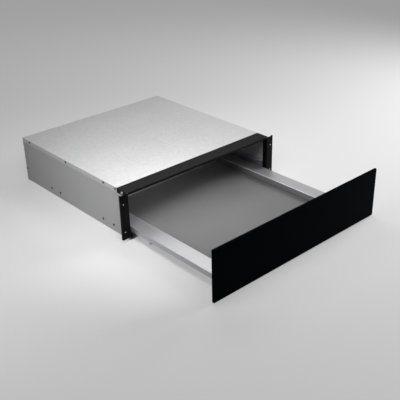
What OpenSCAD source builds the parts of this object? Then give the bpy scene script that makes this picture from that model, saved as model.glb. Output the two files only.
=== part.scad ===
// Built-in storage drawer for a fitted kitchen: a shallow steel tray on ball slides in a sheet steel housing.
// X runs along the front, Y into the niche, Z up. The origin is the middle of the housing's base.

/* [Housing] */
// Width of the housing over its side folds
body_w = 520; // [480:1:560]
// Depth of the housing from the front plane to the back panel
body_d = 512; // [500:1:560]
// Height of the housing
body_h = 138; // [130:1:160]
// Thickness of the housing's sheet steel
sheet_t = 1; // [0.8:0.1:1.2]
// Height of the folds that hang over the side panels
fold_h = 13; // [10:1:20]
// Width of the stiffening flanges along the panels' edges
stiff_w = 10; // [6:1:12]
// Height of the turned-up front edge of the bottom panel
sill_h = 8; // [4:1:8]

/* [Front frame] */
// How far each jamb stands out past the housing's side
jamb_out = 21; // [12:0.5:30]
// Thickness of the frame's sheet steel
frame_t = 1.5; // [1.2:0.1:2]
// How far each jamb reaches in from the housing's side to the opening
jamb_in = 4.5; // [4:0.1:5.5]
// Gap between the base and the lower end of each jamb
jamb_low = 8; // [4:1:20]
// Step from the top of the housing down to the top of each jamb
jamb_drop = 2; // [1.2:0.1:6]
// Depth of the fold along the outer edge of each jamb
jamb_outer_fold = 6.5; // [4:0.5:12]
// Depth of the fold along the opening
jamb_inner_fold = 14; // [8:1:14]
// Width of the foot that closes the runner space below the tray rail
foot_w = 7; // [3:0.5:7]
// Gap between the top of that foot and the tray's lip
foot_gap = 2.5; // [1:0.1:8]
// Depth of the top rail
rail_d = 41.5; // [30:0.5:60]
// Height of the top rail's front face
rail_face_h = 7; // [6:0.5:12]
// Depth of the fold under the top rail
rail_fold = 10; // [6:1:16]
// Thickness of the top rail's sheet
rail_t = 1; // [0.8:0.1:1.2]
// Radius of the holes that fix the frame in the niche
fix_hole_r = 2.25; // [1.5:0.25:3]
// Distance between the upper and lower fixing holes
fix_hole_pitch = 80; // [40:1:90]
// Distance from the jamb's outer edge to its fixing holes
fix_hole_inset = 9; // [8:0.5:10]
// Height of the web that joins each jamb to its lug under the bracket's ledge
lug_web_h = 12; // [6:1:20]

/* [Tray] */
// How far the open drawer stands out from its pushed-in stop
open_travel = 338; // [250:1:345]
// Gap between the tray and the opening on each side
tray_side_gap = 2.5; // [1.5:0.1:4]
// Width of the flat top of each tray rail
tray_rail_w = 43; // [36:1:50]
// Gap between the ball slides and the tray rail above them
rail_over_gap = 3.5; // [1:0.1:8]
// Height of the lip outside each tray rail
tray_lip_h = 15; // [10:0.5:16]
// Height of the tray floor's upper face above the base
tray_floor_z = 19.8; // [19:0.1:22]
// Thickness of the tray's sheet
tray_t = 1; // [0.8:0.1:1.2]
// Gap between the pushed-in tray and the back panel
tray_back_gap = 3; // [2:1:40]
// Width of the flanges that carry the tray floor
floor_flange = 15; // [8:1:25]
// Height of the tray floor's turned-up front edge
floor_lip_h = 16; // [14:0.5:20]
// Thickness of the non-slip mat
mat_t = 2; // [1:0.1:4]
// Gap between the mat and the tray's walls
mat_gap = 0.6; // [0.4:0.1:3]
// Radius of the locating hole near the rear end of each tray rail
locate_hole_r = 3; // [2:0.5:5]
// Distance of the locating hole from the tray's rear end
locate_hole_back = 34; // [10:1:60]
// Distance of the locating hole from the outside of the rail
locate_hole_in = 22; // [20:0.5:26]

/* [Front] */
// How far the glass front reaches past the frame on each side
glass_side = 16; // [5:0.5:25]
// How far the glass front stands above the housing
glass_over = 4; // [1:0.5:8]
// Thickness of the glass
glass_t = 6; // [4:0.5:8]
// Height of the glass front's lower edge above the base
glass_low = 2; // [1:0.5:5]
// Radius of the glass front's corners
glass_corner_r = 3; // [1:0.5:6]
// Thickness of the adhesive tape behind the glass
tape_t = 1; // [0.5:0.1:2]
// Width of each strip of that tape
tape_w = 20; // [10:1:24]
// Distance from the glass front's sides to the steel panel that carries it
panel_side = 27; // [10:0.5:30]
// Distance from the glass front's top to that panel
panel_drop = 10; // [8:0.5:16]
// Height of the panel's lower edge above the base
panel_low = 10; // [8:1:12]
// Depth of that panel
panel_d = 9; // [8:0.5:14]
// Thickness of the panel's sheet
panel_t = 1; // [0.8:0.1:1.5]
// Height of the panel's lower hem, which carries the tray
panel_hem = 32; // [31:1:36]
// Width of the panel's other hems
panel_side_hem = 14; // [13:1:20]
// Thickness of the rubber buffers
buffer_t = 2; // [1.5:0.1:4]
// Radius of the rubber buffers
buffer_r = 5; // [3:0.5:5.5]
// Gap left between buffers and frame when the drawer is pushed in
push_gap = 0.5; // [0.3:0.1:2]

/* [Runners] */
// Height of each ball slide
slide_h = 30; // [26:0.5:30]
// Gap between each ball slide and the floor of its bracket
slide_low_gap = 1.5; // [0.5:0.1:3]
// Width of each ball slide
slide_w = 12.7; // [12.7:0.1:14]
// Thickness of the slides' steel
slide_t = 1.2; // [1:0.1:1.2]
// Distance from the front plane to the fixed runner
fixed_start = 5; // [2:0.5:10]
// Gap between the fixed runner and the back panel
slide_back_gap = 56; // [20:1:90]
// How much shorter the middle runner is than the fixed one
middle_short = 50; // [20:1:80]
// How far the middle runner comes out when the drawer is open
middle_travel = 67.6; // [40:0.1:80]
// Diameter of the bearing balls
ball_d = 3; // [2.6:0.1:3]
// Running gap between a ball and its track
ball_gap = 0.3; // [0.25:0.05:0.5]
// Balls in each row
balls = 8; // [3:1:12]
// Length of the outer ball cage
outer_cage_len = 240; // [120:1:300]
// Length of the inner ball cage
inner_cage_len = 160; // [100:1:170]
// Thickness of the ball cages
cage_t = 0.8; // [0.5:0.1:0.8]
// Height of the bracket that carries each slide
bracket_h = 56; // [48:1:70]
// Thickness of that bracket
bracket_t = 1.5; // [1.2:0.1:1.5]
// Width of the ledge along the bracket's top
bracket_ledge = 9; // [8.5:0.5:10]

/* [Push latch] */
// Width of the latch housing
latch_w = 26; // [20:1:40]
// Height of the latch housing
latch_h = 14; // [12:0.5:15]
// Length of the latch housing
latch_len = 48; // [42:1:56]
// Radius of the latch plunger
plunger_r = 4; // [3:0.5:4]
// Stroke of the latch plunger
plunger_stroke = 12; // [6:1:14]
// Running gap round the plunger
plunger_gap = 0.3; // [0.25:0.05:0.5]
// How far the plunger stands out when it is pressed in
plunger_out = 6; // [3:0.5:8]
// Thickness of the closed end of the latch's bore
latch_end_t = 3; // [2:0.5:5]
// Wire diameter of the latch spring
wire_d = 0.8; // [0.6:0.1:1]

/* [Fasteners] */
// Radius of a screw or rivet shank
shank_r = 1.75; // [1.5:0.05:2]
// Clearance between a shank and its hole
shank_gap = 0.1; // [0.05:0.05:0.2]
// Radius of a screw head
head_r = 3.2; // [2.8:0.1:4]
// Height of a screw head
head_h = 1.7; // [1.2:0.1:2.2]

/* [Hidden] */
$fn = 32;
arc_steps = 4;
sharp = 0.8;

front_y = -body_d / 2;
back_y = body_d / 2;
side_x = body_w / 2 - sheet_t;
wall_x = side_x - sheet_t;
opening_x = body_w / 2 - jamb_in;
frame_x = body_w / 2 + jamb_out;
jamb_top = body_h - jamb_drop;
frame_y = front_y - frame_t;
cover_y = front_y + rail_d;
flange_top = body_h - max(sheet_t, rail_t);

pushed_y = frame_y - push_gap - buffer_t;
panel_back_y = pushed_y - open_travel;
panel_front_y = panel_back_y - panel_d;
glass_back_y = panel_front_y - tape_t;
glass_y = glass_back_y - glass_t;
tray_rear_y = back_y - sheet_t - tray_back_gap - open_travel;

half_outer = slide_h / 2;
half_middle = half_outer - slide_t - ball_d - 2 * ball_gap;
half_inner = half_middle - slide_t - ball_d - 2 * ball_gap;
slide_z = sheet_t + bracket_t + slide_low_gap + half_outer;
tray_top_z = slide_z + half_outer + rail_over_gap + tray_t;
outer_len = body_d - sheet_t - slide_back_gap - fixed_start;
middle_len = outer_len - middle_short;
inner_len = outer_len;

tray_x = opening_x - tray_side_gap;
tray_in_x = tray_x - tray_rail_w;
floor_low = tray_floor_z - tray_t;
flange_low = floor_low - tray_t;
floor_edge = 0.6;
lip_top = floor_low + floor_lip_h;
panel_screw_z = lip_top - 2.8;
panel_screw_x = [60, tray_in_x - 20];
glass_x = frame_x + glass_side;
glass_top = body_h + glass_over;
panel_x = glass_x - panel_side;
panel_top = glass_top - panel_drop;

upstand_gap = 1.5;
upstand_x = tray_x - tray_t - upstand_gap;
slide_x = upstand_x - bracket_t;
hanger_x = slide_x - slide_w;
hanger_t = 1.2;
hanger_leg = 10;
lug_len = 16;
outer_row = half_middle + ball_gap + ball_d / 2;
inner_row = half_inner + ball_gap + ball_d / 2;
web_gap = 0.5;
outer_cage_s = slide_t + web_gap;
middle_s = outer_cage_s + cage_t + web_gap;
inner_cage_s = middle_s + slide_t + web_gap;
inner_s = inner_cage_s + cage_t + web_gap;
outer_ball_s = slide_w - 5.9;
inner_ball_s = slide_w - 4.1;
cage_pocket = ball_d / 2 + 0.1;
track_w = 5.2;
curl_h = 1.2;

bracket_y = front_y + jamb_inner_fold + 0.5;
foot_top = tray_top_z - tray_lip_h - foot_gap;
outer_cage_start = 60;
inner_cage_start = 147;
open_ratio = middle_travel / open_travel;
cage_open = (1 + open_ratio) / 2 * open_travel;

rivet_y = [68, 116, 328, 373];
cover_screw_y = [rail_d + 5.5, 99, 278, body_d - 41];
side_screw_drop = 4.5;
frame_screw_y = jamb_inner_fold + 4.5;
frame_screw_drop = 6;
back_screw_z = 40;
buffer_z = [jamb_low + 16, jamb_top - 18];
ledge_screw_y = 8;
ledge_screw_x = wall_x - bracket_ledge / 2 - 0.5;
ledge_head_r = 2.9;

latch_front_y = back_y - sheet_t - latch_len;
plunger_z = sheet_t + latch_h / 2;
plunger_guide = 10;
catch_y = latch_front_y - plunger_out - push_gap - tray_t - open_travel;

steel = [0.74, 0.75, 0.76];
bright = [0.83, 0.84, 0.85];
black = [0.09, 0.09, 0.1];

// Turn between two directions in the plane, in degrees
function turn(a, b) = atan2(a[0] * b[1] - a[1] * b[0], a[0] * b[0] + a[1] * b[1]);
// Direction of one stretch of a path
function heading(p, i) = (p[i + 1] - p[i]) / norm(p[i + 1] - p[i]);
// Normal on the left of a direction, turned on by an angle
function left_of(v, a = 0) = [-v[1] * cos(a) - v[0] * sin(a), v[0] * cos(a) - v[1] * sin(a)];
// Rounded corner of a path at a distance from its middle line
function corner(p, i, r, off) =
    let (a = heading(p, i - 1), th = turn(a, heading(p, i)), s = sign(th))
    let (c = p[i] - a * r * tan(abs(th) / 2) + s * r * left_of(a))
    [for (k = [0:arc_steps]) c - s * left_of(a, th * k / arc_steps) * (r - s * off)];
// One side of a bent sheet
function sheet_side(p, r, off) =
    let (n = len(p) - 1)
    concat([p[0] + left_of(heading(p, 0)) * off],
        [for (i = [1:1:n - 1]) each corner(p, i, r, off)],
        [p[n] + left_of(heading(p, n - 1)) * off]);
function backwards(v) = [for (i = [len(v) - 1:-1:0]) v[i]];

// Section of a bent sheet: a path along its middle, its thickness and its bend radius
module bent(path, t, r) {
    polygon(concat(sheet_side(path, r, t / 2), backwards(sheet_side(path, r, -t / 2))));
}

// Carries a section drawn in X and Z along Y
module along_y(y0, y1) {
    translate([0, y1, 0]) rotate([90, 0, 0]) linear_extrude(y1 - y0) children();
}

// Carries a section drawn in Y and Z along X
module along_x(x0, x1) {
    translate([x0, 0, 0]) rotate([90, 0, 90]) linear_extrude(x1 - x0) children();
}

// Puts a right-hand piece on the side that is asked for
module on_side(side) {
    if (side == "left") mirror([1, 0, 0]) children();
    else children();
}

// Block between two corners
module block(low, high) {
    translate(low) cube(high - low);
}

// Block that reaches as far left as right
module centred_block(half_x, y0, y1, z0, z1) {
    block([-half_x, y0, z0], [half_x, y1, z1]);
}

// Round bar along X or Y from one place to another
module bar_x(x0, x1, y, z, r) {
    translate([x0, y, z]) rotate([0, 90, 0]) cylinder(h = x1 - x0, r = r);
}

module bar_y(y0, y1, x, z, r) {
    translate([x, y0, z]) rotate([-90, 0, 0]) cylinder(h = y1 - y0, r = r);
}

// Pan-head screw along +X, with its head's seat at x and its shank running inwards
module screw_x(x, y, z, grip) {
    slot = 0.8;
    difference() {
        union() {
            bar_x(x, x + head_h, y, z, head_r);
            bar_x(x - grip, x, y, z, shank_r);
        }
        block([x + head_h / 2, y - head_r / 2, z - slot / 2], [x + head_h + 1, y + head_r / 2, z + slot / 2]);
        block([x + head_h / 2, y - slot / 2, z - head_r / 2], [x + head_h + 1, y + slot / 2, z + head_r / 2]);
    }
}

// Hole for such a screw
module screw_hole_x(x0, x1, y, z) {
    bar_x(x0, x1, y, z, shank_r + shank_gap);
}

module cover_screw_holes(x0, x1) {
    for (y = cover_screw_y) screw_hole_x(x0, x1, front_y + y, body_h - side_screw_drop);
}

module back_screw_hole(x0, x1) {
    screw_hole_x(x0, x1, back_y - fold_h / 2, back_screw_z);
}

module top_cover() {
    color(steel) difference() {
        union() {
            centred_block(body_w / 2, cover_y, back_y, body_h - sheet_t, body_h);
            for (side = ["left", "right"]) on_side(side)
                block([side_x, cover_y, body_h - fold_h], [body_w / 2, back_y, body_h]);
        }
        for (side = ["left", "right"]) on_side(side) cover_screw_holes(side_x - 1, body_w / 2 + 1);
    }
}

module side_panel(side) {
    mid_top = flange_top - sheet_t / 2;
    mid_x = side_x - sheet_t / 2;
    color(steel) on_side(side) difference() {
        along_y(front_y, back_y - sheet_t)
            bent([[mid_x, sheet_t], [mid_x, mid_top], [mid_x - stiff_w, mid_top]], sheet_t, sharp);
        cover_screw_holes(wall_x - 1, side_x + 1);
        screw_hole_x(wall_x - 1, side_x + 1, front_y + frame_screw_y, body_h - frame_screw_drop);
        back_screw_hole(wall_x - 1, side_x + 1);
        for (y = rivet_y) screw_hole_x(wall_x - 1, side_x + 1, front_y + y, slide_z);
    }
}

module bottom_panel() {
    sill_x = slide_x - slide_w - foot_w;
    color(steel) union() {
        centred_block(side_x, front_y, back_y - sheet_t, 0, sheet_t);
        centred_block(sill_x, front_y, front_y + sheet_t, 0, sill_h);
    }
}

module back_panel() {
    flange_x = wall_x - stiff_w - 1;
    color(steel) difference() {
        union() {
            centred_block(body_w / 2, back_y - sheet_t, back_y, 0, body_h - sheet_t);
            centred_block(flange_x, back_y - stiff_w, back_y, body_h - 2 * sheet_t, body_h - sheet_t);
            for (side = ["left", "right"]) on_side(side)
                block([side_x, back_y - fold_h, 0], [body_w / 2, back_y, body_h - fold_h]);
        }
        for (side = ["left", "right"]) on_side(side) {
            back_screw_hole(side_x - 1, body_w / 2 + 1);
            block([side_x - 1, back_y - sheet_t - 1, body_h - fold_h], [body_w / 2 + 1, back_y + 1, body_h]);
        }
    }
}

module top_rail() {
    run = 0.3;
    mid_top = body_h - rail_t / 2;
    mid_low = body_h - rail_face_h + rail_t / 2;
    mid_front = frame_y + rail_t / 2;
    color(black) difference() {
        union() {
            along_x(run - opening_x, opening_x - run)
                bent([[cover_y, mid_top], [mid_front, mid_top], [mid_front, mid_low],
                    [mid_front + rail_fold, mid_low]], rail_t, sharp);
            for (side = ["left", "right"]) on_side(side) {
                block([opening_x - 1, front_y, body_h - rail_t], [body_w / 2, cover_y, body_h]);
                block([side_x, front_y, body_h - fold_h], [body_w / 2, cover_y, body_h]);
            }
        }
        for (side = ["left", "right"]) on_side(side)
            screw_hole_x(side_x - 1, body_w / 2 + 1, front_y + frame_screw_y, body_h - frame_screw_drop);
    }
}

module fixing_holes() {
    for (dz = [-1, 1])
        bar_y(frame_y - 1, front_y + 1, frame_x - fix_hole_inset,
            body_h / 2 + dz * fix_hole_pitch / 2, fix_hole_r);
}

// Hole for the screw through the bracket's ledge and the jamb's lug
module ledge_hole(z0, z1) {
    translate([ledge_screw_x, bracket_y + ledge_screw_y, z0]) cylinder(h = z1 - z0, r = shank_r + shank_gap);
}

// Jamb of the front frame, with its foot and the lug that lies under the bracket's ledge
module jamb(side) {
    lug_y = front_y + jamb_inner_fold - 0.5;
    lug_top = bracket_h - bracket_t;
    in_mid = opening_x + frame_t / 2;
    out_mid = frame_x - frame_t / 2;
    face_mid = front_y - frame_t / 2;
    color(black) on_side(side) difference() {
        union() {
            translate([0, 0, jamb_low]) linear_extrude(jamb_top - jamb_low)
                bent([[in_mid, front_y + jamb_inner_fold], [in_mid, face_mid], [out_mid, face_mid],
                    [out_mid, front_y + jamb_outer_fold - frame_t]], frame_t, sharp);
            block([opening_x - foot_w, frame_y, jamb_low], [in_mid + frame_t, front_y, foot_top]);
            block([wall_x - bracket_ledge, lug_y, lug_top - frame_t],
                [wall_x - bracket_t - 0.3, lug_y + lug_len, lug_top]);
            block([opening_x, lug_y - 2, lug_top - lug_web_h], [opening_x + frame_t, lug_y + 1, lug_top]);
        }
        fixing_holes();
        ledge_hole(lug_top - frame_t - 1, lug_top + 1);
    }
}

// Stepped bracket on the side panel: ledge, wall leg, floor leg and the upstand that holds the slide
module runner_bracket(side) {
    h = bracket_t / 2;
    top = bracket_h - h;
    color(bright) on_side(side) difference() {
        along_y(bracket_y, front_y + outer_len + fixed_start)
            bent([[wall_x - bracket_ledge, top], [wall_x - h, top], [wall_x - h, sheet_t + h],
                [slide_x + h, sheet_t + h], [slide_x + h, slide_z + half_outer]], bracket_t, 1);
        for (y = rivet_y) screw_hole_x(wall_x - bracket_t - 1, wall_x + 1, front_y + y, slide_z);
        back_screw_hole(wall_x - bracket_t - 1, wall_x + 1);
        ledge_hole(bracket_h - bracket_t - 1, bracket_h + 1);
    }
}

// C-shaped slide section, open towards the middle of the drawer, with curled edges
module track(s0, half, width, curl) {
    h = slide_t / 2;
    x0 = slide_x - s0 - h;
    x1 = slide_x - s0 - width + h;
    z = half - h;
    edge = curl > 0 ? [[x1, z - curl]] : [];
    low_edge = curl > 0 ? [[x1, curl - z]] : [];
    translate([0, slide_z])
        bent(concat(edge, [[x1, z], [x0, z], [x0, -z], [x1, -z]], low_edge), slide_t, sharp);
}

module fixed_runner(side) {
    color(bright) on_side(side) along_y(front_y + fixed_start, front_y + fixed_start + outer_len)
        track(0, half_outer, slide_w - 1.5, curl_h);
}

module middle_runner(side) {
    start = front_y - middle_travel;
    color(bright) on_side(side) along_y(start, start + middle_len)
        track(middle_s, half_middle, slide_w - middle_s - 1, curl_h);
}

// Drawer runner: its web lies on the hanger and its two legs reach back into the middle runner
module drawer_runner(side) {
    h = slide_t / 2;
    z = half_inner - h;
    x0 = hanger_x + h;
    x1 = slide_x - inner_s;
    start = front_y + fixed_start - open_travel;
    color(bright) on_side(side) along_y(start, start + inner_len) translate([0, slide_z])
        bent([[x1, z], [x0, z], [x0, -z], [x1, -z]], slide_t, sharp);
}

function row_y(start, length, k) = start + length * (k + 0.5) / balls;

// Cage of one ball row pair: a thin channel with a pocket for each ball
module cage(s0, ball_s, row, start, length) {
    h = cage_t / 2;
    x0 = slide_x - s0 - h;
    x1 = slide_x - ball_s - track_w / 2;
    difference() {
        along_y(start, start + length) translate([0, slide_z])
            bent([[x1, row], [x0, row], [x0, -row], [x1, -row]], cage_t, sharp);
        for (k = [0:balls - 1], dz = [-row, row])
            translate([slide_x - ball_s, row_y(start, length, k), slide_z + dz - cage_t])
                cylinder(h = 2 * cage_t, r = cage_pocket);
    }
}

module ball_rows(ball_s, row, start, length) {
    for (k = [0:balls - 1], dz = [-row, row])
        translate([slide_x - ball_s, row_y(start, length, k), slide_z + dz]) sphere(d = ball_d);
}

outer_cage_y = front_y + outer_cage_start - middle_travel / 2;
inner_cage_y = front_y + inner_cage_start - cage_open;

module outer_cage(side) {
    color([0.72, 0.7, 0.62]) on_side(side)
        cage(outer_cage_s, outer_ball_s, outer_row, outer_cage_y, outer_cage_len);
}

module inner_cage(side) {
    color([0.72, 0.7, 0.62]) on_side(side)
        cage(inner_cage_s, inner_ball_s, inner_row, inner_cage_y, inner_cage_len);
}

module outer_balls(side) {
    color(bright) on_side(side) ball_rows(outer_ball_s, outer_row, outer_cage_y, outer_cage_len);
}

module inner_balls(side) {
    color(bright) on_side(side) ball_rows(inner_ball_s, inner_row, inner_cage_y, inner_cage_len);
}

// Hanger under the tray rail that holds the drawer runner
module runner_hanger(side) {
    h = hanger_t / 2;
    x = hanger_x - h;
    top = tray_top_z - tray_t - h;
    start = front_y + fixed_start - open_travel;
    color(steel) on_side(side) along_y(start, start + inner_len)
        bent([[x, slide_z - half_inner], [x, top], [x - hanger_leg, top]], hanger_t, sharp);
}

// Tray rail: an upturned channel with a lip outside, an inner wall and a flange under the floor
module tray_rail(side) {
    h = tray_t / 2;
    x0 = tray_x - h;
    x1 = tray_in_x + h;
    top = tray_top_z - h;
    color(bright) on_side(side) difference() {
        along_y(panel_back_y, tray_rear_y)
            bent([[x0, tray_top_z - tray_lip_h], [x0, top], [x1, top], [x1, flange_low + h],
                [x1 - floor_flange, flange_low + h]], tray_t, 1);
        translate([tray_x - locate_hole_in, tray_rear_y - locate_hole_back, tray_top_z - 3])
            cylinder(h = 6, r = locate_hole_r);
    }
}

module tray_floor() {
    color(bright) difference() {
        union() {
            centred_block(tray_in_x - floor_edge, panel_back_y, tray_rear_y - tray_t - floor_edge,
                floor_low, tray_floor_z);
            centred_block(tray_in_x - floor_edge, panel_back_y, panel_back_y + tray_t, floor_low, lip_top);
        }
        for (x = panel_screw_x, m = [-1, 1])
            bar_y(panel_back_y - 1, panel_back_y + tray_t + 1, m * x, panel_screw_z, shank_r + shank_gap);
    }
}

// Back wall of the tray with a flange under the floor and a hem along its top
module tray_back() {
    h = tray_t / 2;
    y = tray_rear_y - h;
    color(bright) along_x(floor_flange + 1 - tray_in_x, tray_in_x - floor_flange - 1)
        bent([[y - floor_flange, flange_low + h], [y, flange_low + h], [y, tray_top_z - h]], tray_t, sharp);
    color(bright) centred_block(tray_in_x, tray_rear_y - tray_t, tray_rear_y, floor_low + 1, tray_top_z);
}

module mat() {
    color([0.45, 0.45, 0.46])
        centred_block(tray_in_x - mat_gap, panel_back_y + tray_t + mat_gap, tray_rear_y - tray_t - mat_gap,
            tray_floor_z, tray_floor_z + mat_t);
}

// Steel panel behind the glass: a shallow pan with its hems turned in at the back
module front_panel() {
    color(black) difference() {
        centred_block(panel_x, panel_front_y, panel_back_y, panel_low, panel_top);
        centred_block(panel_x - panel_t, panel_front_y + panel_t, panel_back_y - panel_t,
            panel_low + panel_t, panel_top - panel_t);
        centred_block(panel_x - panel_side_hem, panel_back_y - panel_t - 1, panel_back_y + 1,
            panel_low + panel_hem, panel_top - panel_side_hem);
        for (x = panel_screw_x, m = [-1, 1])
            bar_y(panel_back_y - panel_t - 1, panel_back_y + 1, m * x, panel_screw_z, shank_r + shank_gap);
    }
}

// Angle under each tray rail that ties it to the front panel
module front_bracket(side) {
    h = hanger_t / 2;
    gap = 2;
    reach = 40;
    top = tray_top_z - tray_t - h;
    x0 = tray_in_x + tray_t + gap;
    x1 = hanger_x - hanger_t - hanger_leg - gap;
    color(steel) on_side(side) along_x(x0, x1)
        bent([[panel_back_y + h, floor_low], [panel_back_y + h, top], [panel_back_y + reach, top]],
            hanger_t, sharp);
}

// Strips of adhesive tape between the panel and the glass
module glass_tape() {
    edge = 6;
    tape_x = panel_x - edge;
    low = panel_low + edge;
    top = panel_top - edge;
    color([0.15, 0.15, 0.15]) difference() {
        centred_block(tape_x, glass_back_y, panel_front_y, low, top);
        centred_block(tape_x - tape_w, glass_back_y - 1, panel_front_y + 1, low + tape_w, top - tape_w);
    }
}

// Glass front with round corners and a polished edge
module glass_front() {
    r = glass_corner_r;
    h = glass_top - glass_low;
    color([0.03, 0.03, 0.04]) along_y(glass_y, glass_back_y) union() {
        translate([r - glass_x, glass_low]) square([2 * (glass_x - r), h]);
        translate([-glass_x, glass_low + r]) square([2 * glass_x, h - 2 * r]);
        for (x = [-1, 1], z = [glass_low + r, glass_top - r]) translate([x * (glass_x - r), z]) circle(r);
    }
}

module front_buffers() {
    x = opening_x + buffer_r + 1.5;
    color([0.2, 0.2, 0.2]) for (m = [-1, 1], z = buffer_z)
        bar_y(panel_back_y, panel_back_y + buffer_t, m * x, z, buffer_r);
}

// Push latch on the bottom panel under the tray: housing with a blind bore for spring and plunger
module latch_housing() {
    color([0.25, 0.25, 0.26]) difference() {
        centred_block(latch_w / 2, latch_front_y, latch_front_y + latch_len, sheet_t, sheet_t + latch_h);
        bar_y(latch_front_y - 1, latch_front_y + latch_len - latch_end_t, 0, plunger_z,
            plunger_r + plunger_gap);
    }
}

plunger_tip_y = latch_front_y - plunger_out - plunger_stroke;
plunger_end_y = latch_front_y + plunger_guide;

// Plunger, which stands fully out while the drawer is open
module latch_plunger() {
    nose = 1;
    color([0.6, 0.6, 0.6]) union() {
        bar_y(plunger_tip_y + nose, plunger_end_y, 0, plunger_z, plunger_r);
        bar_y(plunger_tip_y, plunger_tip_y + nose, 0, plunger_z, plunger_r - 0.6);
    }
}

// Coil behind the plunger, as one helix of round points
spring_turns = 8;
spring_r = plunger_r - wire_d / 2;
spring_y0 = plunger_end_y + 0.3;
spring_y1 = latch_front_y + latch_len - latch_end_t;
spring_sides = 6;
spring_rings = spring_turns * 16;

function coil_point(k) =
    let (a = 360 * spring_turns * k / spring_rings)
    [spring_r * cos(a), spring_y0 + wire_d / 2 + (spring_y1 - spring_y0 - wire_d) * k / spring_rings,
        plunger_z + spring_r * sin(a)];
function coil_ring(k) =
    let (a = 360 * spring_turns * k / spring_rings, c = coil_point(k))
    [for (j = [0:spring_sides - 1])
        let (b = 360 * j / spring_sides)
        c + wire_d / 2 * [cos(b) * cos(a), sin(b), cos(b) * sin(a)]];

module latch_spring() {
    n = spring_sides;
    points = [for (k = [0:spring_rings]) each coil_ring(k)];
    wall = [for (k = [0:spring_rings - 1], j = [0:n - 1])
        each [[k * n + j, (k + 1) * n + j, (k + 1) * n + (j + 1) % n],
            [k * n + j, (k + 1) * n + (j + 1) % n, k * n + (j + 1) % n]]];
    low_cap = [for (j = [1:n - 2]) [0, j, j + 1]];
    last = spring_rings * n;
    high_cap = [for (j = [1:n - 2]) [last, last + j + 1, last + j]];
    color(bright) polyhedron(points, concat(wall, low_cap, high_cap));
}

// Plate that hangs under the tray floor and presses the plunger when the drawer shuts
module latch_catch() {
    drop = plunger_z - plunger_r;
    foot = 18;
    h = tray_t / 2;
    color(steel) along_x(-latch_w / 2, latch_w / 2)
        bent([[catch_y + h, drop], [catch_y + h, floor_low - h], [catch_y - foot, floor_low - h]],
            tray_t, sharp);
}

// Rivets that hold each runner bracket to its side panel
module bracket_rivets() {
    tail = 1.4;
    color(bright) for (side = ["left", "right"]) on_side(side) for (y = rivet_y) {
        bar_x(side_x, side_x + 1.3, front_y + y, slide_z, head_r);
        bar_x(wall_x - bracket_t, side_x, front_y + y, slide_z, shank_r);
        bar_x(wall_x - bracket_t - tail, wall_x - bracket_t, front_y + y, slide_z, 2.6);
    }
}

module cover_screws() {
    color(bright) for (side = ["left", "right"]) on_side(side) for (y = cover_screw_y)
        screw_x(body_w / 2, front_y + y, body_h - side_screw_drop, 6);
}

module frame_screws() {
    color(bright) for (side = ["left", "right"]) on_side(side)
        screw_x(body_w / 2, front_y + frame_screw_y, body_h - frame_screw_drop, 3.5);
}

module back_screws() {
    color(bright) for (side = ["left", "right"]) on_side(side)
        screw_x(body_w / 2, back_y - fold_h / 2, back_screw_z, 6);
}

// Screws that hold the tray floor's front edge to the front panel
module panel_screws() {
    grip = 6;
    color(bright) for (x = panel_screw_x, m = [-1, 1]) {
        bar_y(panel_back_y + tray_t, panel_back_y + tray_t + head_h, m * x, panel_screw_z, head_r);
        bar_y(panel_back_y + tray_t - grip, panel_back_y + tray_t, m * x, panel_screw_z, shank_r);
    }
}

// Screws that tie the brackets' ledges to the jambs' lugs
module ledge_screws() {
    grip = 6;
    color(bright) for (side = ["left", "right"]) on_side(side)
        translate([ledge_screw_x, bracket_y + ledge_screw_y, 0]) {
            translate([0, 0, bracket_h]) cylinder(h = head_h, r = ledge_head_r);
            translate([0, 0, bracket_h - grip]) cylinder(h = grip, r = shank_r);
        }
}

top_cover();
side_panel("left");  // left_side_panel
side_panel("right");  // right_side_panel
bottom_panel();
back_panel();
top_rail();
jamb("left");  // left_jamb
jamb("right");  // right_jamb
runner_bracket("left");  // left_runner_bracket
runner_bracket("right");  // right_runner_bracket
fixed_runner("left");  // left_fixed_runner
fixed_runner("right");  // right_fixed_runner
middle_runner("left");  // left_middle_runner
middle_runner("right");  // right_middle_runner
drawer_runner("left");  // left_drawer_runner
drawer_runner("right");  // right_drawer_runner
outer_cage("left");  // left_outer_cage
outer_cage("right");  // right_outer_cage
inner_cage("left");  // left_inner_cage
inner_cage("right");  // right_inner_cage
outer_balls("left");  // left_outer_balls
outer_balls("right");  // right_outer_balls
inner_balls("left");  // left_inner_balls
inner_balls("right");  // right_inner_balls
runner_hanger("left");  // left_runner_hanger
runner_hanger("right");  // right_runner_hanger
tray_rail("left");  // left_tray_rail
tray_rail("right");  // right_tray_rail
tray_floor();
tray_back();
mat();
front_panel();
front_bracket("left");  // left_front_bracket
front_bracket("right");  // right_front_bracket
glass_tape();
glass_front();
front_buffers();
latch_housing();
latch_plunger();
latch_spring();
latch_catch();
bracket_rivets();
cover_screws();
frame_screws();
back_screws();
panel_screws();
ledge_screws();
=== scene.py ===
import math

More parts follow.
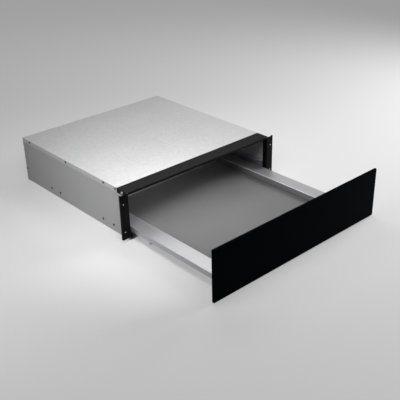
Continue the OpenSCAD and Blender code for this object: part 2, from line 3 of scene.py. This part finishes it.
import bpy
import numpy as np
from mathutils import Matrix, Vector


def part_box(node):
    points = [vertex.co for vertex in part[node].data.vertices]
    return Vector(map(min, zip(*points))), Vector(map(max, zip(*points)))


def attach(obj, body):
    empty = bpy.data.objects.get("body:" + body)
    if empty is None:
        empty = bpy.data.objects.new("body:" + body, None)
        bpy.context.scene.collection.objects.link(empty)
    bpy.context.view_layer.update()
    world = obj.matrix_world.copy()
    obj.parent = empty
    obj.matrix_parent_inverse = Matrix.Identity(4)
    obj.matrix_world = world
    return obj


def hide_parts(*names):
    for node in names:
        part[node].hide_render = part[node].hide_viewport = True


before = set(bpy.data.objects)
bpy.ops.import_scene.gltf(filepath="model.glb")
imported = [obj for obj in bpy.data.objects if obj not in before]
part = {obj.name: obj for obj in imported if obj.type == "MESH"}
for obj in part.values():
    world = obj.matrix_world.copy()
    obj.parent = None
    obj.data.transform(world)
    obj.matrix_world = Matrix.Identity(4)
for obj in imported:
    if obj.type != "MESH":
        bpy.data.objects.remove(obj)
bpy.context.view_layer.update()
scene = bpy.context.scene
scene.view_settings.view_transform = "Standard"


# Outer sheets of the housing: cover, two sides, bottom and back.
# Hot-dip galvanised steel, 1 mm, with the zinc's fine spangle. The cover's copy of the zinc is
# painted lighter than the sides', as painted light on the top.
# They are cut and folded, and screwed or spot-welded along the folds.
SHEET_DARK = (0.395, 0.395, 0.398, 1)
SHEET_LIGHT = (0.45, 0.45, 0.453, 1)
PAINTED_LIT_COVER_DARK = (0.455, 0.455, 0.458, 1)
PAINTED_LIT_COVER_LIGHT = (0.605, 0.605, 0.608, 1)
CRYSTALS_IN_A_METRE = 250
CRYSTAL_CONTRAST = 0.45
SHEET_EDGE = 0.0004
WELD_GAP = 0.00001
FLAT_WITHIN = math.radians(0.5)
SHARP_FROM = math.radians(40)


def both(*names):
    """The left-hand and the right-hand piece of each name."""
    return [side + name for side in ("left_", "right_") for name in names]


def feed(tree, socket, value):
    """Sets a socket to a value, or links it where the value is another node's socket."""
    if isinstance(value, bpy.types.NodeSocket):
        tree.links.new(value, socket)
    else:
        socket.default_value = value


def shade(tree, kind, **inputs):
    """One shader node, its inputs fed by their names."""
    made = tree.nodes.new("ShaderNode" + kind)
    for name, value in inputs.items():
        feed(tree, made.inputs[name.replace("_", " ")], value)
    return made


def calculate(tree, operation, *values):
    """The result of one operation, such as MULTIPLY, on numbers or sockets."""
    made = tree.nodes.new("ShaderNodeMath")
    made.operation = operation
    for socket, value in zip(made.inputs, values):
        feed(tree, socket, value)
    return made.outputs["Value"]


def along(tree, stretch=(1, 1, 1)):
    """Place on the piece in metres, times a number on each axis, for a pattern to read."""
    here = shade(tree, "TexCoord").outputs["Object"]
    return shade(tree, "Mapping", Vector=here, Scale=stretch).outputs["Vector"]


def noise(tree, scale, detail, stretch=(1, 1, 1)):
    """Soft random patches over the piece, from 0 to 1, about as many in a metre as scale says."""
    made = shade(tree, "TexNoise", Vector=along(tree, stretch), Scale=scale, Detail=detail)
    return made.outputs["Fac"]


def between(tree, share, low, high):
    """A number that goes from low to high as share goes from 0 to 1."""
    made = shade(tree, "MapRange", Value=share, From_Min=0.0, From_Max=1.0, To_Min=low, To_Max=high)
    return made.outputs["Result"]


def finish_of(name, metal, rough, gloss=0.5):
    """New finish with its metal, roughness and gloss; gives the material, its tree and its shader."""
    made = bpy.data.materials.new(name)
    made.use_nodes = True
    skin = made.node_tree.nodes["Principled BSDF"]
    skin.inputs["Metallic"].default_value = metal
    skin.inputs["Roughness"].default_value = rough
    skin.inputs["Specular IOR Level"].default_value = gloss
    return made, made.node_tree, skin


def tint(tree, skin, share, dark, light):
    """Colours a skin from dark to light as share goes from 0 to 1, and gives the colour."""
    ramp = tree.nodes.new("ShaderNodeValToRGB")
    ramp.color_ramp.elements[0].color = dark
    ramp.color_ramp.elements[1].color = light
    tree.links.new(share, ramp.inputs["Fac"])
    tree.links.new(ramp.outputs["Color"], skin.inputs["Base Color"])
    return ramp.outputs["Color"]


def relief(tree, skin, height, depth, strength):
    """Raises and lowers a skin by height times depth, in metres."""
    bump = shade(tree, "Bump", Height=height, Distance=depth, Strength=strength)
    tree.links.new(bump.outputs["Normal"], skin.inputs["Normal"])


def coat(material, *names):
    """Gives CAD pieces a finish."""
    for name in names:
        part[name].data.materials.clear()
        part[name].data.materials.append(material)


def welded(*names):
    """Joins the loose triangles of CAD pieces where their corners meet."""
    for name in names:
        weld = part[name].modifiers.new("weld", "WELD")
        weld.merge_threshold = WELD_GAP


def eased(*names, width):
    """Breaks the sharp edges of CAD pieces by a width, as pressing and deburring do. Their flat
    sides are joined up first, so that no sliver folds over, and keep their shading straight."""
    welded(*names)
    for name in names:
        flat = part[name].modifiers.new("flat", "DECIMATE")
        flat.decimate_type = "DISSOLVE"
        flat.angle_limit = FLAT_WITHIN
        edge = part[name].modifiers.new("edge", "BEVEL")
        edge.width = width
        edge.segments = 2
        edge.limit_method = "ANGLE"
        edge.angle_limit = SHARP_FROM
        even = part[name].modifiers.new("even", "WEIGHTED_NORMAL")
        even.keep_sharp = True


def spangled(name, metal, dark, light):
    """Zinc finish: crystals of random tone and gloss, a faint haze over them and a fine tooth."""
    made, tree, skin = finish_of(name, metal, rough=0.6, gloss=0.05)
    cells = shade(tree, "TexVoronoi", Vector=along(tree), Scale=CRYSTALS_IN_A_METRE)
    crystal = shade(tree, "SeparateColor", Color=cells.outputs["Color"]).outputs["Red"]
    haze = between(tree, noise(tree, scale=9.0, detail=4.0), low=0.1, high=0.5)
    tone = calculate(tree, "MULTIPLY_ADD", crystal, CRYSTAL_CONTRAST, haze)
    tint(tree, skin, tone, dark, light)
    tree.links.new(between(tree, crystal, low=0.56, high=0.66), skin.inputs["Roughness"])
    relief(tree, skin, noise(tree, scale=900.0, detail=2.0), depth=0.00003, strength=0.5)
    return made


lower_sheets = (*both("side_panel"), "bottom_panel", "back_panel")
coat(spangled("galvanised sheet", 0.2, SHEET_DARK, SHEET_LIGHT), *lower_sheets)
# The cover gets a lighter copy of the same zinc: painted light standing in for the brighter light on
# the top.
coat(spangled("galvanised sheet painted lit on top", 0.15, PAINTED_LIT_COVER_DARK, PAINTED_LIT_COVER_LIGHT), "top_cover")
eased(*lower_sheets, "top_cover", width=SHEET_EDGE)


# Front frame of a top rail and two jambs round the opening, and the panel that carries the glass.
# Folded sheet steel with a satin black powder coat, whose orange peel only shows from close by.
COAT_BLACK = (0.0022, 0.0022, 0.0025, 1)
COAT_GREY = (0.0055, 0.0055, 0.006, 1)

powder, tree, skin = finish_of("black powder coat", metal=0.0, rough=0.42, gloss=0.06)
patch = noise(tree, scale=14.0, detail=3.0)
tint(tree, skin, patch, COAT_BLACK, COAT_GREY)
tree.links.new(between(tree, patch, low=0.36, high=0.5), skin.inputs["Roughness"])
relief(tree, skin, noise(tree, scale=1400.0, detail=2.0), depth=0.00004, strength=0.6)
coated_pieces = ("top_rail", *both("jamb"), "front_panel")
coat(powder, *coated_pieces)
eased(*coated_pieces, width=0.0005)


# Tray: two side rails, floor and back wall, folded and joined along their flanges.
# Bright zinc-coated sheet, rolled with fine lines that run front to back.
# The bend along each rail's inner edge has a painted highlight: a thin near-white, less metallic
# strip in the colour.
TRAY_DARK = (0.385, 0.385, 0.395, 1)
TRAY_LIGHT = (0.495, 0.495, 0.505, 1)
TRAY_METAL = 0.62
RAIL_WIDTH = 0.043
HIGHLIGHT_WIDTH = 0.0014
PAINTED_HIGHLIGHT = (0.95, 0.95, 0.96, 1)
HIGHLIGHT_METAL = 0.2


def blend(tree, share, first, second):
    """A colour that goes from the first to the second as share goes from 0 to 1."""
    mix = tree.nodes.new("ShaderNodeMix")
    mix.data_type = "RGBA"
    taken = [socket for socket in mix.inputs if socket.enabled]
    for socket, value in zip(taken, (share, first, second)):
        feed(tree, socket, value)
    return next(socket for socket in mix.outputs if socket.enabled)


tray_sheet, tree, skin = finish_of("bright tray sheet", TRAY_METAL, rough=0.34, gloss=0.1)
lines = noise(tree, scale=1600.0, detail=2.0, stretch=(1, 0.012, 1))
cloud = noise(tree, scale=22.0, detail=3.0, stretch=(1, 0.4, 1))
rail_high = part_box("right_tray_rail")[1]
# Painted highlight: a thin strip along the top of each rail's inner edge is coloured near white and
# less metallic.
here = shade(tree, "SeparateXYZ", Vector=along(tree)).outputs
outward = calculate(tree, "ABSOLUTE", here["X"])
beside = calculate(tree, "COMPARE", outward, rail_high.x - RAIL_WIDTH, HIGHLIGHT_WIDTH)
above = calculate(tree, "GREATER_THAN", here["Z"], rail_high.z - HIGHLIGHT_WIDTH)
painted_highlight = calculate(tree, "MULTIPLY", beside, above)
rolled = tint(tree, skin, lines, TRAY_DARK, TRAY_LIGHT)
tree.links.new(blend(tree, painted_highlight, rolled, PAINTED_HIGHLIGHT), skin.inputs["Base Color"])
tree.links.new(between(tree, painted_highlight, TRAY_METAL, HIGHLIGHT_METAL), skin.inputs["Metallic"])
tree.links.new(between(tree, cloud, low=0.3, high=0.4), skin.inputs["Roughness"])
relief(tree, skin, lines, depth=0.00001, strength=0.4)
tray_pieces = (*both("tray_rail"), "tray_floor", "tray_back")
coat(tray_sheet, *tray_pieces)
eased(*tray_pieces, width=0.0003)


# Non-slip mat: a loose sheet of matt grey rubber on the tray floor.
# Its edges are cut and slightly rounded, and its face has a fine pressed grain.
MAT_DARK = (0.140, 0.140, 0.141, 1)
MAT_LIGHT = (0.164, 0.164, 0.165, 1)
MAT_CORNER = 0.004
MAT_ROUNDING = 0.0006
MAT_ROUNDING_STEPS = 4
MAT_FOOT = 0.0001
MAT_SHARP_FROM = math.radians(50)
CORNER_STEPS = 8


def rounded_outline(low, high, radius):
    """Points round a rectangle from low to high, whose corners are quarter circles of the radius.
    A point is its corner's centre plus radius times (cos a, sin a), a going once round."""
    (left, near), (right, far) = low, high
    corners = np.array([(right, far), (left, far), (left, near), (right, near)])
    inward = np.array([(-1, -1), (1, -1), (1, 1), (-1, 1)])
    a = np.arange(4)[:, None] * np.pi / 2 + np.linspace(0, np.pi / 2, CORNER_STEPS + 1)
    circle = np.stack([np.cos(a), np.sin(a)], axis=-1)
    return ((corners + radius * inward)[:, None] + radius * circle).reshape(-1, 2)


def plate(name, low, high, radius, steps):
    """A flat plate with eased edges. Each step is a ring of points: the rounded outline, drawn in
    by the step's first number and laid at the depth of its second. Walls join the rings, and a
    face closes each end."""
    low, high = np.array(low), np.array(high)
    rings = []
    for draw, depth in steps:
        ring = rounded_outline(low + draw, high - draw, radius - draw)
        rings.append(np.column_stack([ring, np.full(len(ring), depth)]))
    count = len(rings[0])
    j = np.arange(count)
    k = (j + 1) % count
    starts = count * np.arange(len(rings))
    walls = [np.stack([s + j, s + k, s + count + k, s + count + j], 1) for s in starts[:-1]]
    faces = np.concatenate(walls).tolist()
    faces += [j[::-1].tolist(), (starts[-1] + j).tolist()]
    mesh = bpy.data.meshes.new(name)
    mesh.from_pydata(np.concatenate(rings).tolist(), [], faces)
    made = bpy.data.objects.new(name, mesh)
    scene.collection.objects.link(made)
    return made


low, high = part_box("mat")
mat_steps = [(MAT_FOOT, low.z)]
mat_steps += [
    (MAT_ROUNDING * (1 - math.cos(a)), high.z - MAT_ROUNDING * (1 - math.sin(a)))
    for a in np.linspace(0, np.pi / 2, MAT_ROUNDING_STEPS + 1)
]
mat = plate("non_slip_mat", (low.x, low.y), (high.x, high.y), MAT_CORNER, mat_steps)
mat.data.polygons.foreach_set("use_smooth", np.ones(len(mat.data.polygons), bool))
mat.data.set_sharp_from_angle(angle=MAT_SHARP_FROM)

rubber, tree, skin = finish_of("mat rubber", metal=0.0, rough=0.82, gloss=0.3)
grain = shade(tree, "TexVoronoi", Vector=along(tree), Scale=900.0).outputs["Distance"]
tint(tree, skin, noise(tree, scale=7.0, detail=5.0), MAT_DARK, MAT_LIGHT)
relief(tree, skin, grain, depth=0.0001, strength=0.35)
mat.data.materials.append(rubber)
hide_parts("mat")
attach(mat, "drawer")


# Glass front: toughened glass, 6 mm, lacquered black on its back and taped to the front panel.
# All its edges are ground, with a polished bevel of 0.8 mm round both faces.
GLASS_BLACK = (0.0008, 0.0011, 0.0020, 1)
GLASS_SHEEN = (0.45, 0.65, 1.0, 1)
GLASS_CORNER = 0.003
ARRIS = 0.0008

low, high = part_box("glass_front")
glass_steps = [(ARRIS, low.y), (0, low.y + ARRIS), (0, high.y - ARRIS), (ARRIS, high.y)]
glass = plate("glass_front_plate", (low.x, low.z), (high.x, high.z), GLASS_CORNER, glass_steps)
# The plate is made lying down, and standing it up turns its faces round.
points = np.zeros(3 * len(glass.data.vertices))
glass.data.vertices.foreach_get("co", points)
upright = points.reshape(-1, 3)[:, [0, 2, 1]]
glass.data.vertices.foreach_set("co", upright.ravel())
glass.data.flip_normals()
glass.data.update()

lacquer, tree, skin = finish_of("black glass", metal=0.0, rough=0.04, gloss=0.01)
skin.inputs["Base Color"].default_value = GLASS_BLACK
skin.inputs["Specular Tint"].default_value = GLASS_SHEEN
smear = noise(tree, scale=5.0, detail=4.0)
tree.links.new(between(tree, smear, low=0.03, high=0.08), skin.inputs["Roughness"])
glass.data.materials.append(lacquer)
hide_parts("glass_front")
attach(glass, "drawer")


# Ball slides with their brackets, hangers and angles, and the latch's catch under the tray.
# Rolled and folded steel with a bright zinc plate, drawn lengthways.
# Rivets hold the brackets to the housing's sides, and the hangers carry the tray's rails.
PLATE_DARK = (0.52, 0.53, 0.55, 1)
PLATE_LIGHT = (0.68, 0.69, 0.71, 1)

plated, tree, skin = finish_of("bright zinc plate", metal=0.85, rough=0.3)
drawn = noise(tree, scale=900.0, detail=2.0, stretch=(1, 0.02, 1))
tint(tree, skin, noise(tree, scale=35.0, detail=3.0), PLATE_DARK, PLATE_LIGHT)
tree.links.new(between(tree, drawn, low=0.22, high=0.38), skin.inputs["Roughness"])
runners = both("fixed_runner", "middle_runner", "drawer_runner")
carriers = both("runner_bracket", "runner_hanger", "front_bracket")
plated_pieces = (*runners, *carriers, "latch_catch")
coat(plated, *plated_pieces)
eased(*plated_pieces, width=0.0003)


# Ball cages and balls inside the slides.
# Thin yellow-passivated strip, with a pocket pressed for each polished steel ball.
CAGE_DARK = (0.52, 0.47, 0.33, 1)
CAGE_LIGHT = (0.64, 0.60, 0.47, 1)
BALL_DARK = (0.70, 0.70, 0.71, 1)
BALL_LIGHT = (0.80, 0.80, 0.81, 1)


def mottled(name, metal, rough, scale, detail, dark, light, gloss=0.5, depth=0, strength=0):
    """Finish whose tone wanders from dark to light in soft patches, which a depth also raises."""
    made, tree, skin = finish_of(name, metal, rough, gloss)
    patches = noise(tree, scale, detail)
    tint(tree, skin, patches, dark, light)
    if depth:
        relief(tree, skin, patches, depth, strength)
    return made


cage_strip = mottled(
    "yellow passivated strip", metal=0.8, rough=0.34, scale=60.0, detail=3.0,
    dark=CAGE_DARK, light=CAGE_LIGHT,
)
coat(cage_strip, *both("outer_cage", "inner_cage"))

ball_steel = mottled(
    "polished balls", metal=1.0, rough=0.1, scale=700.0, detail=2.0,
    dark=BALL_DARK, light=BALL_LIGHT,
)
ball_rows = both("outer_balls", "inner_balls")
coat(ball_steel, *ball_rows)
welded(*ball_rows)


# Screws with pan heads and a cross recess, rivets, and the latch's spring.
# Pressed and plated steel. The screws in the cover and back are darkened, the rivets of the
# brackets nearly black, and the rest bright zinc.
DARKENED_STEEL = (0.07, 0.07, 0.072, 1)
DARKENED_RUBBED = (0.14, 0.14, 0.145, 1)
RIVET_BLACK = (0.008, 0.008, 0.008, 1)
RIVET_RUBBED = (0.022, 0.022, 0.022, 1)
SCREW_DARK = (0.60, 0.60, 0.61, 1)
SCREW_LIGHT = (0.76, 0.76, 0.77, 1)

dark_steel = mottled(
    "darkened screw steel", metal=0.6, rough=0.42, scale=450.0, detail=3.0,
    dark=DARKENED_STEEL, light=DARKENED_RUBBED,
)
dark_screws = ("cover_screws", "back_screws")
coat(dark_steel, *dark_screws)

blackened = mottled(
    "blackened rivets", metal=0.2, rough=0.5, gloss=0.2, scale=450.0, detail=3.0,
    dark=RIVET_BLACK, light=RIVET_RUBBED,
)
coat(blackened, "bracket_rivets")

screw_zinc = mottled(
    "bright screw zinc", metal=0.8, rough=0.3, scale=450.0, detail=3.0,
    dark=SCREW_DARK, light=SCREW_LIGHT,
)
bright_screws = ("frame_screws", "panel_screws", "ledge_screws")
coat(screw_zinc, *bright_screws, "latch_spring")
eased(*dark_screws, "bracket_rivets", *bright_screws, width=0.0003)


# Rubber buffers that meet the frame when the drawer shuts, and the tape behind the glass.
# Soft matt black rubber and foam tape, stuck to the two faces of the front panel.
RUBBER_DARK = (0.022, 0.022, 0.022, 1)
RUBBER_LIGHT = (0.036, 0.036, 0.036, 1)

soft_black = mottled(
    "buffer rubber", metal=0.0, rough=0.7, gloss=0.3, scale=1200.0, detail=2.0,
    dark=RUBBER_DARK, light=RUBBER_LIGHT, depth=0.00006, strength=0.5,
)
coat(soft_black, "front_buffers", "glass_tape")
eased("front_buffers", width=0.0006)


# Push latch on the housing's floor: a grey housing and a pale plunger with a spring behind it.
# Injection-moulded plastic, the housing with a fine eroded texture.
MOULDING_DARK = (0.105, 0.105, 0.11, 1)
MOULDING_LIGHT = (0.135, 0.135, 0.14, 1)
NYLON_DARK = (0.58, 0.58, 0.56, 1)
NYLON_LIGHT = (0.66, 0.66, 0.64, 1)

moulded = mottled(
    "grey moulding", metal=0.0, rough=0.55, gloss=0.4, scale=1500.0, detail=2.0,
    dark=MOULDING_DARK, light=MOULDING_LIGHT, depth=0.00005, strength=0.5,
)
coat(moulded, "latch_housing")
eased("latch_housing", width=0.0006)

nylon = mottled(
    "pale moulding", metal=0.0, rough=0.4, scale=80.0, detail=2.0,
    dark=NYLON_DARK, light=NYLON_LIGHT,
)
coat(nylon, "latch_plunger")


# Floor that the housing stands on: plain and pale, wide enough to fill the view.
# It shows the same paleness to the camera and in the metal, and it keeps the shadow.
FLOOR_HALF = 40.0
FLOOR_DROP = 0.0002
PAPER_GREY = (0.45, 0.45, 0.45, 1)
PAPER_GLOW = 0.33
WHITE = (1, 1, 1, 1)

floor_mesh = bpy.data.meshes.new("studio_floor")
square = ((-1, -1), (1, -1), (1, 1), (-1, 1))
corners = [(FLOOR_HALF * x, FLOOR_HALF * y, -FLOOR_DROP) for x, y in square]
floor_mesh.from_pydata(corners, [], [(0, 1, 2, 3)])
floor = bpy.data.objects.new("studio_floor", floor_mesh)
scene.collection.objects.link(floor)


def seen(tree):
    """1 on rays from the camera, in a gloss or through glass, 0 on the rest."""
    path = shade(tree, "LightPath").outputs
    either = calculate(tree, "MAXIMUM", path["Is Camera Ray"], path["Is Glossy Ray"])
    return calculate(tree, "MAXIMUM", either, path["Is Transmission Ray"])


paper, tree, skin = finish_of("floor paper", metal=0.0, rough=0.9, gloss=0.1)
skin.inputs["Base Color"].default_value = PAPER_GREY
skin.inputs["Emission Color"].default_value = WHITE
glow = between(tree, seen(tree), low=0.0, high=PAPER_GLOW)
tree.links.new(glow, skin.inputs["Emission Strength"])
floor_mesh.materials.append(paper)


# Studio light: softboxes above the tray, above the cover and low at the left, large ones in front,
# at the right and behind, and a narrow one that reaches into the opening.
# They stand in a pale room that only shows to the camera, in a gloss and through glass.
SOFTBOXES = dict(
    key_softbox=dict(
        place=(-0.35, -0.42, 0.60), aim=(-0.15, -0.25, 0.12), size=(0.50, 0.14), power=1.05, spread=90
    ),
    overhead_softbox=dict(
        place=(0.35, 0.15, 0.9), aim=(0.0, -0.25, 0.10), size=(0.9, 0.25), power=1.6, spread=120
    ),
    low_left_softbox=dict(
        place=(-1.1, 0.0, 0.35), aim=(-0.26, -0.30, 0.07), size=(0.6, 0.4), power=1.5, spread=120
    ),
    front_softbox=dict(
        place=(0.2, -1.9, 1.05), aim=(0.0, -0.2, 0.05), size=(2.0, 0.8), power=2.2, spread=160
    ),
    right_softbox=dict(
        place=(1.7, -0.7, 1.0), aim=(0.0, -0.3, 0.05), size=(1.2, 0.8), power=26, spread=160
    ),
    behind_softbox=dict(
        place=(1.1, 1.15, 1.35), aim=(0.0, -0.2, 0.05), size=(1.8, 0.8), power=2.0, spread=160
    ),
    inside_softbox=dict(
        place=(0.40, -1.45, 0.83), aim=(-0.11, -0.12, 0.02), size=(0.3, 0.08), power=0.12, spread=18
    ),
)
ROOM_GLOW = 0.4


def softbox(name, place, aim, size, power, spread):
    """A flat lamp at a place, facing its aim, of that width and height in metres, whose grid keeps
    its light within the spread, in degrees."""
    lamp = bpy.data.lights.new(name, "AREA")
    lamp.shape = "RECTANGLE"
    lamp.size, lamp.size_y = size
    lamp.energy = power
    lamp.spread = math.radians(spread)
    made = bpy.data.objects.new(name, lamp)
    scene.collection.objects.link(made)
    away = np.array(place) - np.array(aim)
    away = away / np.linalg.norm(away)
    side = np.cross((0, 0, 1), away)
    side = side / np.linalg.norm(side)
    turned = np.eye(4)
    turned[:3] = np.column_stack([side, np.cross(away, side), away, place])
    made.matrix_world = Matrix(turned.tolist())
    made.visible_camera = False


for name, setting in SOFTBOXES.items():
    softbox(name, **setting)

room = bpy.data.worlds.new("pale room")
room.use_nodes = True
tree = room.node_tree
sky = tree.nodes["Background"]
sky.inputs["Color"].default_value = WHITE
tree.links.new(between(tree, seen(tree), low=0.0, high=ROOM_GLOW), sky.inputs["Strength"])
scene.world = room


# Camera: in front of the left corner and above, turned and tilted as the photograph's was.
# Its place is in metres, its lens and sensor are in millimetres, and its turns in degrees.
CAMERA_PLACE = (-1.20011, -1.59018, 0.96133)
TURNED_RIGHT = 41.6842
TILTED_DOWN = 27.6011
ROLLED_RIGHT = 1.3409
FOCAL_LENGTH = 65.05
SENSOR_WIDTH = 36
NEAREST = 0.05
FARTHEST = 200

lens = bpy.data.cameras.new("camera")
lens.lens = FOCAL_LENGTH
lens.sensor_width = SENSOR_WIDTH
lens.clip_start = NEAREST
lens.clip_end = FARTHEST
camera = bpy.data.objects.new("camera", lens)
scene.collection.objects.link(camera)
camera.matrix_world = (
    Matrix.Translation(CAMERA_PLACE)
    @ Matrix.Rotation(math.radians(-TURNED_RIGHT), 4, "Z")
    @ Matrix.Rotation(math.radians(90 - TILTED_DOWN), 4, "X")
    @ Matrix.Rotation(math.radians(-ROLLED_RIGHT), 4, "Z")
)
scene.camera = camera
